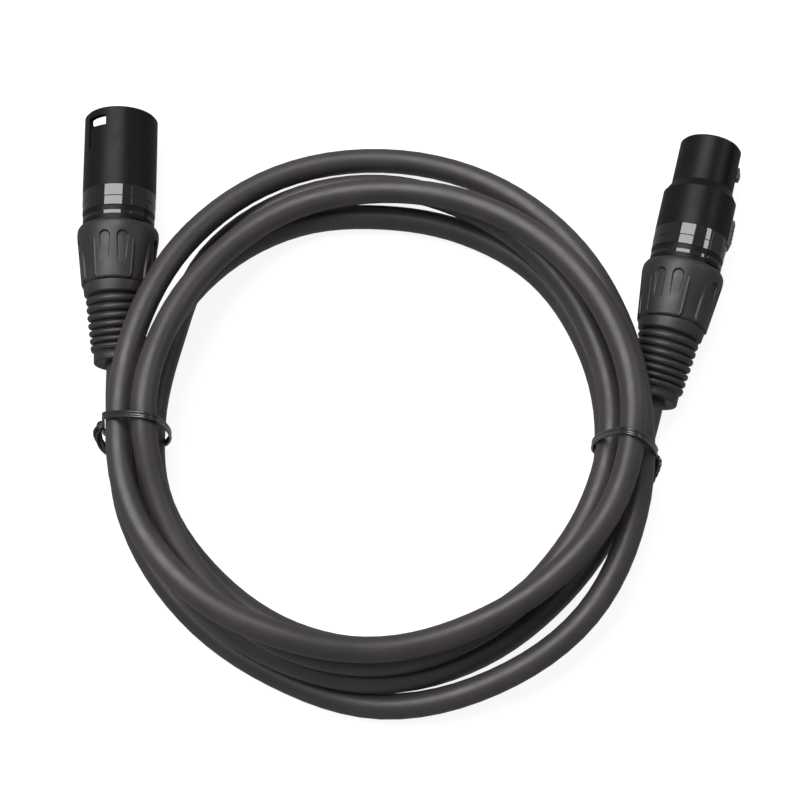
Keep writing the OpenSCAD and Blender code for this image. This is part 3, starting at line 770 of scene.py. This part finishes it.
@dataclass
class Boot:
    """Boot of one connector: hard fluted bushing and soft ribbed bend relief.

    Attributes:
        prefix: name of the end, "male" or "female".
        seat: where the connector lies.

    Sizes are in mm, places are distances behind the rim and angles are in degrees.

    Attributes of the bushing:
        rim_r: greatest radius, just behind the rim.
        rim: place of each point of the rounded rim and how far it lies inside rim_r.
        bushing_end_r: radius at its end.
        end_round, end_deep: length and depth of the rounded end.
        spigot_r, spigot_s: radius and depth of the bore that takes the shell.
        bore_r: radius of the bore behind that.
        panels: raised panels round the grip.
        panel_half: half the angle that a panel spans.
        panel_s, panel_full: where the sunk wedge beside a panel begins, and its distance from the end
            where it is at its deepest.
        panel_deep, panel_wall, panel_corner: the wedge's depth, the width of its wall and the radius of
            the panel's lower corner.
        bead_half, bead_rise: half width and height of the bead along a panel's edge.
        bead_in, bead_out, bead_stop: lengths over which the bead rises and falls, and its distance from
            the end.
        flute_at, flute_s: angle of a scoop from its panel's middle, and place of its round top's centre.
        flute_r, flute_deep, flute_run: radius of that top, depth of the scoop and its length behind.
        flute_narrow, flute_wall: share of its width that a scoop loses, and the width of its walls.
        bushing_around: points round the bushing.
        rim_marks: places of the rings near the rim.
        grip_s, grip_step, grip_rings: place of the first ring after those, step and number of rings.
        end_marks: distances from the end of the last rings.

    Attributes of the bend relief:
        relief_step_in: how far its front lies inside the bushing's end.
        relief_gap: gap between it and the bushing's bore.
        cable_bore_r: radius of its bore.
        neck_len, neck_taper: length of the plain neck before the grooves and how much it narrows.
        neck_round, neck_round_deep: length and depth of the neck's rounded front.
        neck_edge, neck_edge_deep: length and depth of the neck's rounded back.
        tail_r: radius of the end collar behind its raised rim.
        collar: distance from the end of each point of the collar, and how far it stands out over tail_r.
        collar_marks: distances from the end of the rings on the collar.
        grooves, groove_deep, groove_share: number and depth of the grooves, and their share of the pitch.
        rib_front, rib_back: how far the first rib lies inside the neck and the last one outside tail_r.
        rib_crown: how far a rib's top is rounded.
        relief_around, relief_ring: points round the relief and step between its rings.
        bore_rings: rings along its bore.
    """

    prefix: str
    seat: Seat
    rim_r: float = 10.5
    rim: tuple[Pair, ...] = ((0.0, 0.9), (0.2, 0.45), (0.8, 0.12), (1.8, 0.0), (2.6, 0.05))
    bushing_end_r: float = 8.95
    end_round: float = 0.45
    end_deep: float = 0.16
    spigot_r: float = 8.05
    spigot_s: float = 9.1
    bore_r: float = 7.0
    panels: int = 4
    panel_half: float = 32.0
    panel_s: float = 4.6
    panel_full: float = 2.5
    panel_deep: float = 0.5
    panel_wall: float = 0.3
    panel_corner: float = 1.3
    bead_half: float = 0.34
    bead_rise: float = 0.13
    bead_in: float = 1.5
    bead_out: float = 0.3
    bead_stop: float = 0.2
    flute_at: float = 13.3
    flute_s: float = 4.9
    flute_r: float = 1.5
    flute_deep: float = 0.58
    flute_run: float = 6.4
    flute_narrow: float = 0.24
    flute_wall: float = 0.2
    bushing_around: int = 640
    rim_marks: tuple[float, ...] = (0.0, 0.1, 0.2, 0.45, 0.8, 1.2, 1.6, 2.1, 2.6, 3.0)
    grip_s: float = 3.2
    grip_step: float = 0.12
    grip_rings: int = 96
    end_marks: tuple[float, ...] = (0.5, 0.4, 0.3, 0.2, 0.1, 0.0)
    relief_step_in: float = 0.4
    relief_gap: float = 0.1
    cable_bore_r: float = 3.45
    neck_len: float = 2.5
    neck_taper: float = 0.35
    neck_round: float = 0.28
    neck_round_deep: float = 0.38
    neck_edge: float = 0.3
    neck_edge_deep: float = 0.25
    tail_r: float = 6.45
    collar: tuple[Pair, ...] = ((3.7, 0.62), (3.55, 0.6), (3.35, 0.42), (3.2, 0.12), (3.1, 0.0), (0.35, 0.0),
                                (0.12, -0.1), (0.0, -0.34))
    collar_marks: tuple[float, ...] = (3.7, 3.55, 3.45, 3.35, 3.27, 3.2, 3.1, 1.5, 0.35, 0.2, 0.12, 0.0)
    grooves: int = 7
    groove_deep: float = 0.95
    groove_share: float = 0.42
    rib_front: float = 0.65
    rib_back: float = 0.75
    rib_crown: float = 0.2
    relief_around: int = 112
    relief_ring: float = 0.08
    bore_rings: int = 12

    def _bushing_radius(self, s: float, angle: float) -> float:
        """Radius of the grip surface.

        Args:
            s: distance behind the rim, in mm.
            angle: angle round the axis from the top, in degrees.

        Returns:
            The radius in mm.
        """
        end = self.seat.bushing_len
        base = ramp(s, [(at, self.rim_r - inside) for at, inside in self.rim] + [(end, self.bushing_end_r)])
        pattern = 360.0 / self.panels
        off = math.radians((angle - self.seat.clock + pattern / 2) % pattern - pattern / 2)
        x = abs(off) * base
        radius = base - self.end_deep * smooth((s - end + self.end_round) / self.end_round)
        # fine bead along the panel's edge and a sunk wedge beyond it; the panel's lower corner is round
        corner, bead = self.panel_corner, self.bead_half
        low = max(0.0, s - (end - corner))
        edge = math.radians(self.panel_half) * base
        beyond = x - edge + corner - math.sqrt(max(0.0, corner**2 - low**2))
        if abs(beyond + bead) < bead:
            rise = self.bead_rise * smooth((s - self.panel_s) / self.bead_in)
            rise *= smooth((end - self.bead_stop - s) / self.bead_out)
            radius += rise * math.cos(math.pi * (beyond + bead) / (2 * bead)) ** 2
        deepening = smooth((s - self.panel_s) / (end - self.panel_s - self.panel_full))
        radius -= self.panel_deep * smooth(beyond / self.panel_wall) * deepening
        # two scoops with round tops and steep walls, which narrow and run out at the back
        out = (s - self.flute_s) / self.flute_run
        if out < 1.0:
            across = abs(x - math.radians(self.flute_at) * base)
            wide = self.flute_r * (1 - self.flute_narrow * max(0.0, out))
            away = math.hypot(across, self.flute_s - s) - self.flute_r if out < 0.0 else across - wide
            radius -= self.flute_deep * (1 - max(0.0, out)) * smooth(-away / self.flute_wall)
        return radius

    def build_bushing(self) -> None:
        """Make the hard bushing."""
        end = self.seat.bushing_len
        marks = list(self.rim_marks)
        marks += [self.grip_s + self.grip_step * i for i in range(self.grip_rings)]
        marks += [end - back for back in self.end_marks]
        bore = [(end, self.bore_r), (self.spigot_s, self.bore_r), (self.spigot_s, self.spigot_r),
                (0.0, self.spigot_r)]
        rings = []
        for i in range(self.bushing_around):
            angle = 360.0 * i / self.bushing_around
            a = math.radians(angle)
            outline = [(s, self._bushing_radius(s, angle)) for s in marks] + bore
            rings.append([tuple(self.seat.place((r * math.sin(a), -r * math.cos(a), -s)))
                          for s, r in outline])
        piece = grid_mesh(f"{self.prefix}_bushing_skin", rings, True, PALETTE.boot)
        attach(piece, CABLE_BODY)
        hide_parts(f"{self.prefix}_bushing")

    def _relief_radius(self, s: float) -> float:
        """Radius of the bend relief at one place.

        Args:
            s: distance behind the rim, in mm.

        Returns:
            The radius in mm.
        """
        start, end = self.seat.bushing_len, self.seat.end_s
        neck_r = self.bushing_end_r - self.relief_step_in
        first, last = start + self.neck_len, end - self.collar[0][0]
        if s >= last:
            return ramp(s, [(end - back, self.tail_r + out) for back, out in self.collar])
        if s < first:
            front = self.neck_round_deep * smooth((start + self.neck_round - s) / self.neck_round)
            back = self.neck_edge_deep * smooth((s - first + self.neck_edge) / self.neck_edge)
            return neck_r - front - self.neck_taper * (s - start) / self.neck_len - back
        t = (s - first) / (last - first)
        rib = (neck_r - self.rib_front) * (1 - t) + (self.tail_r + self.rib_back) * t
        pitch = (last - first) / self.grooves
        x = ((s - first) % pitch) / pitch
        if x < self.groove_share:
            half = self.groove_share / 2
            deep = self.groove_deep - self.rib_crown
            return rib - self.rib_crown - deep * (1 - smooth(abs(x - half) / half))
        half = (1 - self.groove_share) / 2
        return rib - self.rib_crown * ((x - self.groove_share - half) / half) ** 2

    def build_relief(self) -> None:
        """Make the soft bend relief along its bent axis."""
        start, end, front = self.seat.bushing_len, self.seat.end_s, self.seat.chuck_back
        ribbed = end - self.collar[0][0] - start
        marks = [start + self.relief_ring * i for i in range(int(ribbed / self.relief_ring))]
        marks += [end - back for back in self.collar_marks]
        root_r = self.bore_r - self.relief_gap
        outline = [(front, self.cable_bore_r), (front, root_r), (start, root_r)]
        outline += [(s, self._relief_radius(s)) for s in marks]
        outline += [(end - self.seat.relief_len * i / self.bore_rings, self.cable_bore_r)
                    for i in range(self.bore_rings + 1)]
        frames = []
        for s, r in outline:
            t = self.seat.axis_dir(s)
            u = Vector((0, 1, 0)).cross(t).normalized()
            frames.append((self.seat.axis(s), u, t.cross(u), r))
        rings = []
        for i in range(self.relief_around):
            a = -2 * math.pi * i / self.relief_around
            rings.append([tuple(self.seat.place(c + r * (math.cos(a) * u + math.sin(a) * v)))
                          for c, u, v, r in frames])
        piece = grid_mesh(f"{self.prefix}_bend_relief_skin", rings, True, PALETTE.boot)
        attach(piece, CABLE_BODY)
        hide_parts(f"{self.prefix}_bend_relief")

    def build(self) -> None:
        """Make both pieces of the boot."""
        self.build_bushing()
        self.build_relief()
        LOG.info("%s boot: bushing and bend relief", self.prefix)


# --------------------------------------------------------------------------- connectors


@dataclass
class Connector:
    """A connector whose metal, plastic and contact pieces come from the CAD as they are.

    Attributes:
        prefix: name of the end, "male" or "female".
        seat: where it lies.
        contact: what its contacts are called, "pin" or "socket".
        latch: finish of each piece of its latch, by the node's name without the prefix.
        polished: where the polished lengths of its shell begin and end, in mm from the boot's rim.
    """

    prefix: str
    seat: Seat
    contact: str
    latch: dict[str, Finish] = field(default_factory=dict)
    polished: tuple[Pair, ...] = ((1.5, 2.4), (3.85, 9.45))

    def _shell(self) -> Finish:
        """Make the shell's lacquer, satin on the barrel and polished round the steps beside the boot.

        Returns:
            The finish.
        """
        base, heading = self.seat.place((0, 0, 0)), self.seat.heading((0, 0, 1))
        lengths = tuple((first * MM, last * MM) for first, last in self.polished)
        return replace(PALETTE.shell, name=f"{self.prefix}_shell_lacquer",
                       polish=Polish(tuple(base), tuple(heading), lengths))

    def _finishes(self) -> dict[str, Finish]:
        """List the finishes of the connector's CAD nodes.

        Returns:
            The finish of each node, by the node's name without the prefix.
        """
        contacts = {f"{self.contact}_{i}": PALETTE.contact for i in (1, 2, 3)}
        return {"shell": self._shell(), "insert": PALETTE.insert, **contacts, **self.latch,
                "chuck": PALETTE.insert, "core_hot": PALETTE.core_white, "core_cold": PALETTE.core_red,
                "shield_drain": PALETTE.copper}

    def build(self) -> None:
        """Build the boot and put a finish on each CAD node."""
        Boot(self.prefix, self.seat).build()
        for name, finish in self._finishes().items():
            node = f"{self.prefix}_{name}"
            finish.dress(node)
            LOG.info("%s: %s", node, finish.name)


def connectors() -> Iterable[Connector]:
    """The male and the female end."""
    yield Connector("male", MALE, "pin")
    latch = {"latch": PALETTE.latch, "latch_pin": PALETTE.steel, "latch_spring": PALETTE.steel}
    yield Connector("female", FEMALE, "socket", latch)


# --------------------------------------------------------------------------- twist ties


@dataclass
class TwistTie:
    """A twin-bead band round the strands at one place, its ends twisted together outside.

    Attributes:
        name: CAD node that it stands for.
        turn: angle of its place on the ring, in degrees.
        centres: strand centres (radius, height), counter-clockwise, in mm.
        knot_z: height of the knot.
        side: which way along the ring the twisted ends point.
        twist_len: how far they reach that way, in mm.
        drop: how far they come down.
        tuck: how far they turn in under the strands.
        bulge: how far they bow out on the way.
        twist_turns: turns of the twist.
        width, thick: width and thickness of the band.
        half_section: one side of the band's section, two round beads with a thin web, in half widths and
            half thicknesses.
        clear: gap between band and strands.
        arc_steps, twist_steps: steps round each strand and along the twist.
        lift: how far the twist first goes outwards.
        lean: how far the tie's plane leans off the radius, as a slope.
        mid_r: radius where that plane crosses its angle.
        bow: most that the band bows out between two strands, in degrees.
        twist_out: how far outside the belt the twist begins.
        twist_gap: half the gap between the twisted ends.
        knot_run: height over the knot of each section between twist and belt, and how far up the belt's
            slope it lies.
    """

    name: str
    turn: float
    centres: tuple[Pair, ...]
    knot_z: float
    side: int
    twist_len: float
    drop: float
    tuck: float
    bulge: float
    twist_turns: float
    width: float = 1.9
    thick: float = 0.72
    half_section: tuple[Pair, ...] = ((-1, 0), (-0.97, 0.5), (-0.86, 0.85), (-0.66, 1.0), (-0.44, 0.88),
                                      (-0.25, 0.58), (0, 0.42), (0.25, 0.58), (0.44, 0.88), (0.66, 1.0),
                                      (0.86, 0.85), (0.97, 0.5))
    clear: float = 0.12
    arc_steps: int = 12
    twist_steps: int = 44
    lift: float = 1.8
    lean: float = 0.2
    mid_r: float = 61.0
    bow: float = 18.0
    twist_out: float = 0.2
    twist_gap: float = 0.12
    knot_run: tuple[Pair, ...] = ((0.8, 0.7), (1.5, 1.5), (3.0, 3.0))

    @property
    def band_r(self) -> float:
        """Distance from a strand's centre to the middle of the band."""
        return CABLE_R + self.clear + self.thick / 2

    def _axes(self) -> tuple[Vector, Vector, Vector]:
        """Outward, along the ring and up."""
        x, y = math.cos(math.radians(self.turn)), math.sin(math.radians(self.turn))
        return Vector((x, y, 0)), Vector((-y, x, 0)), Vector((0, 0, 1))

    def _section(self, c: Vector, u: Vector, v: Vector) -> list[Point]:
        """Cross-section of the band at one place.

        Args:
            c: centre in mm.
            u: direction of the width.
            v: direction of the thickness.

        Returns:
            Points in metres.
        """
        shape = self.half_section + tuple((-p, -q) for p, q in self.half_section)
        return [tuple((c + p * self.width / 2 * u + q * self.thick / 2 * v) * MM) for p, q in shape]

    def _at(self, r: float, z: float) -> Vector:
        """Point of the tie's plane in mm; the plane leans a little off the radius."""
        out, along, up = self._axes()
        return Vector((*COIL_CENTRE, 0)) + r * out + z * up - self.lean * (r - self.mid_r) * along

    def _belt(self) -> list[BeltPoint]:
        """Belt round the strands, bowed out a little between them.

        Returns:
            Radius, height and outward angle of each point.
        """
        n = len(self.centres)
        normals = []
        for i, (r, z) in enumerate(self.centres):
            r2, z2 = self.centres[(i + 1) % n]
            normals.append(math.degrees(math.atan2(z2 - z, r2 - r)) - 90)
        rooms = [(normals[i] - normals[i - 1]) % 360 for i in range(n)]
        # a bow takes at most this share of a strand's arc, so that two bows never meet
        share = 0.45
        bows = [min(self.bow, share * rooms[i], share * rooms[(i + 1) % n]) for i in range(n - 1)] + [0.0]
        points: list[BeltPoint] = []
        for i, (r, z) in enumerate(self.centres):
            start = normals[i] - rooms[i] + bows[i - 1]
            room = rooms[i] - bows[i - 1] - bows[i]
            for k in range(self.arc_steps + 1):
                g = start + room * k / self.arc_steps
                points.append((r + self.band_r * math.cos(math.radians(g)),
                               z + self.band_r * math.sin(math.radians(g)), g))
            if i < n - 1:
                points += self._bowed(points[-1], self.centres[i + 1], normals[i], bows[i])
        return points

    def _bowed(self, here: BeltPoint, centre: Pair, normal: float, bow: float) -> list[BeltPoint]:
        """Points of the bowed span from one strand to the next.

        Args:
            here: last point on the strand before.
            centre: centre of the strand after.
            normal: outward angle of the straight span.
            bow: angle between the span's ends and the straight.

        Returns:
            Radius, height and outward angle of each inner point.
        """
        g = math.radians(normal + bow)
        there = (centre[0] + self.band_r * math.cos(g), centre[1] + self.band_r * math.sin(g))
        slope = math.tan(math.radians(bow))
        rise = math.dist(here[:2], there) * slope / 4
        out = (math.cos(math.radians(normal)), math.sin(math.radians(normal)))
        points = []
        for k in range(1, self.arc_steps):
            t = k / self.arc_steps
            h = 4 * rise * t * (1 - t)
            points.append((here[0] + (there[0] - here[0]) * t + h * out[0],
                           here[1] + (there[1] - here[1]) * t + h * out[1],
                           normal - math.degrees(math.atan(slope * (1 - 2 * t)))))
        return points

    def _belt_ring(self, p: BeltPoint) -> list[Point]:
        """Band section at one point of the belt.

        Args:
            p: radius, height and outward angle of the point.

        Returns:
            Points in metres.
        """
        out, along, up = self._axes()
        r, z, angle = p
        g = math.radians(angle)
        return self._section(self._at(r, z), along, math.cos(g) * out + math.sin(g) * up)

    def _twist_ring(self, out_r: float, f: float, way: int) -> list[Point]:
        """Band section in the twisted end, which turns out, along the ring and down.

        Args:
            out_r: radius where the twist begins.
            f: 0 at the root and 1 at the tip.
            way: 1 for the upper end and -1 for the lower one.

        Returns:
            Points in metres.
        """
        out, along, up = self._axes()
        root_r = out_r + self.twist_out
        root = self._at(root_r, self.knot_z)
        tip = self._at(root_r - self.tuck, self.knot_z - self.drop) + self.side * self.twist_len * along
        # the two inner points of the curve from root to tip
        back, above = 0.45 * self.twist_len, 0.5 * self.drop
        a = root + self.lift * out
        b = tip + self.bulge * out - self.side * back * along + above * up
        c = (1 - f)**3 * root + 3 * (1 - f)**2 * f * a + 3 * (1 - f) * f**2 * b + f**3 * tip
        d = ((1 - f)**2 * (a - root) + 2 * (1 - f) * f * (b - a) + f**2 * (tip - b)).normalized()
        across = d.cross(up).normalized()
        g = 2 * math.pi * self.twist_turns * f
        n = math.cos(g) * across.cross(d) + math.sin(g) * across
        return self._section(c + way * (self.thick / 2 + self.twist_gap) * n, n.cross(d), way * n)

    def _knot_rings(self, out_r: float, slope: float, angle: float, way: int) -> list[list[Point]]:
        """Band sections on the way from the twist to the belt.

        Args:
            out_r: radius where the twist begins.
            slope: how far the belt's straight side leans outwards.
            angle: outward angle of that side, in degrees.
            way: 1 for the upper end and -1 for the lower one.

        Returns:
            The sections, the one beside the twist first.
        """
        places = [(out_r + way * run * slope, self.knot_z + way * rise, angle) for rise, run in self.knot_run]
        r, z, _ = places[0]
        places[0] = (r + self.twist_gap, z, 45.0 * way)
        return [self._belt_ring(p) for p in places]

    def build(self) -> None:
        """Make the tie."""
        belt = self._belt()
        high, low = belt[0], belt[-1]
        slope = (high[0] - low[0]) / (high[1] - low[1])
        out_r = low[0] + slope * (self.knot_z - low[1])
        steps = [i / self.twist_steps for i in range(self.twist_steps + 1)]
        rings = [self._twist_ring(out_r, f, 1) for f in reversed(steps)]
        rings += self._knot_rings(out_r, slope, high[2], 1)
        rings += [self._belt_ring(p) for p in belt]
        rings += reversed(self._knot_rings(out_r, slope, low[2], -1))
        rings += [self._twist_ring(out_r, f, -1) for f in steps]
        piece = grid_mesh(f"{self.name}_band", rings, False, PALETTE.tie, caps=True)
        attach(piece, CABLE_BODY)
        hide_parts(self.name)
        LOG.info("%s: band of %d rings", self.name, len(rings))


def twist_ties() -> Iterable[TwistTie]:
    """The two ties."""
    turn = 183.6
    strands = tuple(WINDING.lay(turn + lap) for lap in (360, 720, 1080, 0))
    yield TwistTie("tie_left", turn, strands, knot_z=13.0, side=1, twist_len=4.8, drop=11.6, tuck=0.7,
                   bulge=4.1, twist_turns=0.75)
    turn = 352.0
    strands = tuple(WINDING.lay(turn + lap) for lap in (0, 360, 720, 1080)) + (FEMALE_LEAD[1],)
    yield TwistTie("tie_right", turn, strands, knot_z=12.5, side=-1, twist_len=5.6, drop=4.5, tuck=0.3,
                   bulge=0.9, twist_turns=1.6)


# --------------------------------------------------------------------------- studio


@dataclass
class Studio:
    """Pale floor, soft lights and the camera.

    Attributes:
        target: point that the lights and the camera look at, in metres.
        camera_at: place of the camera, in metres.
        lens: focal length in mm, on a sensor 36 mm wide.
        floor_half: half the side of the square floor, in metres.
        floor_grey: brightness of the floor's surface.
        floor_glow: strength of the floor's own light, which keeps it near white.
        sky: strength of the light from all round.
    """

    target: Point = (-0.003, 0.0037, 0.0)
    camera_at: Point = (-0.003, -0.1189, 0.436)
    lens: float = 78.75
    floor_half: float = 12.0
    floor_grey: float = 0.25
    floor_glow: float = 0.88
    sky: float = 0.27

    def _aimed(self, thing: bpy.types.Object, at: Point) -> None:
        """Put a light or the camera in its place, looking at the target.

        Args:
            thing: the light or the camera.
            at: its place, in metres.
        """
        thing.location = at
        thing.rotation_euler = (Vector(self.target) - Vector(at)).to_track_quat("-Z", "Y").to_euler()
        bpy.context.scene.collection.objects.link(thing)

    def _floor(self) -> None:
        """Make the floor, which gives soft light from below and no sharp reflections."""
        mat = bpy.data.materials.new("pale_floor")
        mat.use_nodes = True
        shader = mat.node_tree.nodes["Principled BSDF"]
        shader.inputs["Base Color"].default_value = (*[self.floor_grey] * 3, 1)
        shader.inputs["Roughness"].default_value = 0.9
        shader.inputs["Specular IOR Level"].default_value = 0.1
        shader.inputs["Emission Color"].default_value = (1, 1, 1, 1)
        shader.inputs["Emission Strength"].default_value = self.floor_glow
        half = self.floor_half
        corners = [(-half, -half, 0), (half, -half, 0), (half, half, 0), (-half, half, 0)]
        mesh = bpy.data.meshes.new("floor")
        mesh.from_pydata(corners, [], [(0, 1, 2, 3)])
        mesh.materials.append(mat)
        floor = bpy.data.objects.new("floor", mesh)
        bpy.context.scene.collection.objects.link(floor)
        floor.visible_glossy = False

    def _light(self, name: str, at: Point, size: Pair, power: float) -> None:
        """Add a soft rectangular light.

        Args:
            name: name of the light.
            at: its place, in metres.
            size: its width and height, in metres.
            power: its power in watts.
        """
        data = bpy.data.lights.new(name, "AREA")
        data.shape = "RECTANGLE"
        data.size, data.size_y = size
        data.energy = power
        self._aimed(bpy.data.objects.new(name, data), at)

    def _surroundings(self) -> None:
        """Make the even light from all round."""
        scene = bpy.context.scene
        scene.world = scene.world or bpy.data.worlds.new("World")
        scene.world.use_nodes = True
        scene.view_settings.view_transform = "Standard"
        back = scene.world.node_tree.nodes["Background"]
        back.inputs["Color"].default_value = (1, 1, 1, 1)
        back.inputs["Strength"].default_value = self.sky

    def _camera(self) -> None:
        """Add the camera."""
        data = bpy.data.cameras.new("camera")
        data.lens, data.sensor_width, data.clip_start = self.lens, 36.0, 0.01
        camera = bpy.data.objects.new("camera", data)
        self._aimed(camera, self.camera_at)
        bpy.context.scene.camera = camera

    def build(self) -> None:
        """Make the floor, the lights, the surroundings and the camera."""
        self._floor()
        self._light("box", (-0.35, 0.40, 1.0), (1.2, 0.7), 18.0)
        self._light("side", (0.40, 0.16, 0.30), (0.10, 0.10), 0.2)
        self._surroundings()
        self._camera()
        LOG.info("studio ready")


def main() -> None:
    """Build every piece in order."""
    Studio().build()
    Cable().build()
    for connector in connectors():
        connector.build()
    for tie in twist_ties():
        tie.build()


if __name__ == "__main__":
    main()
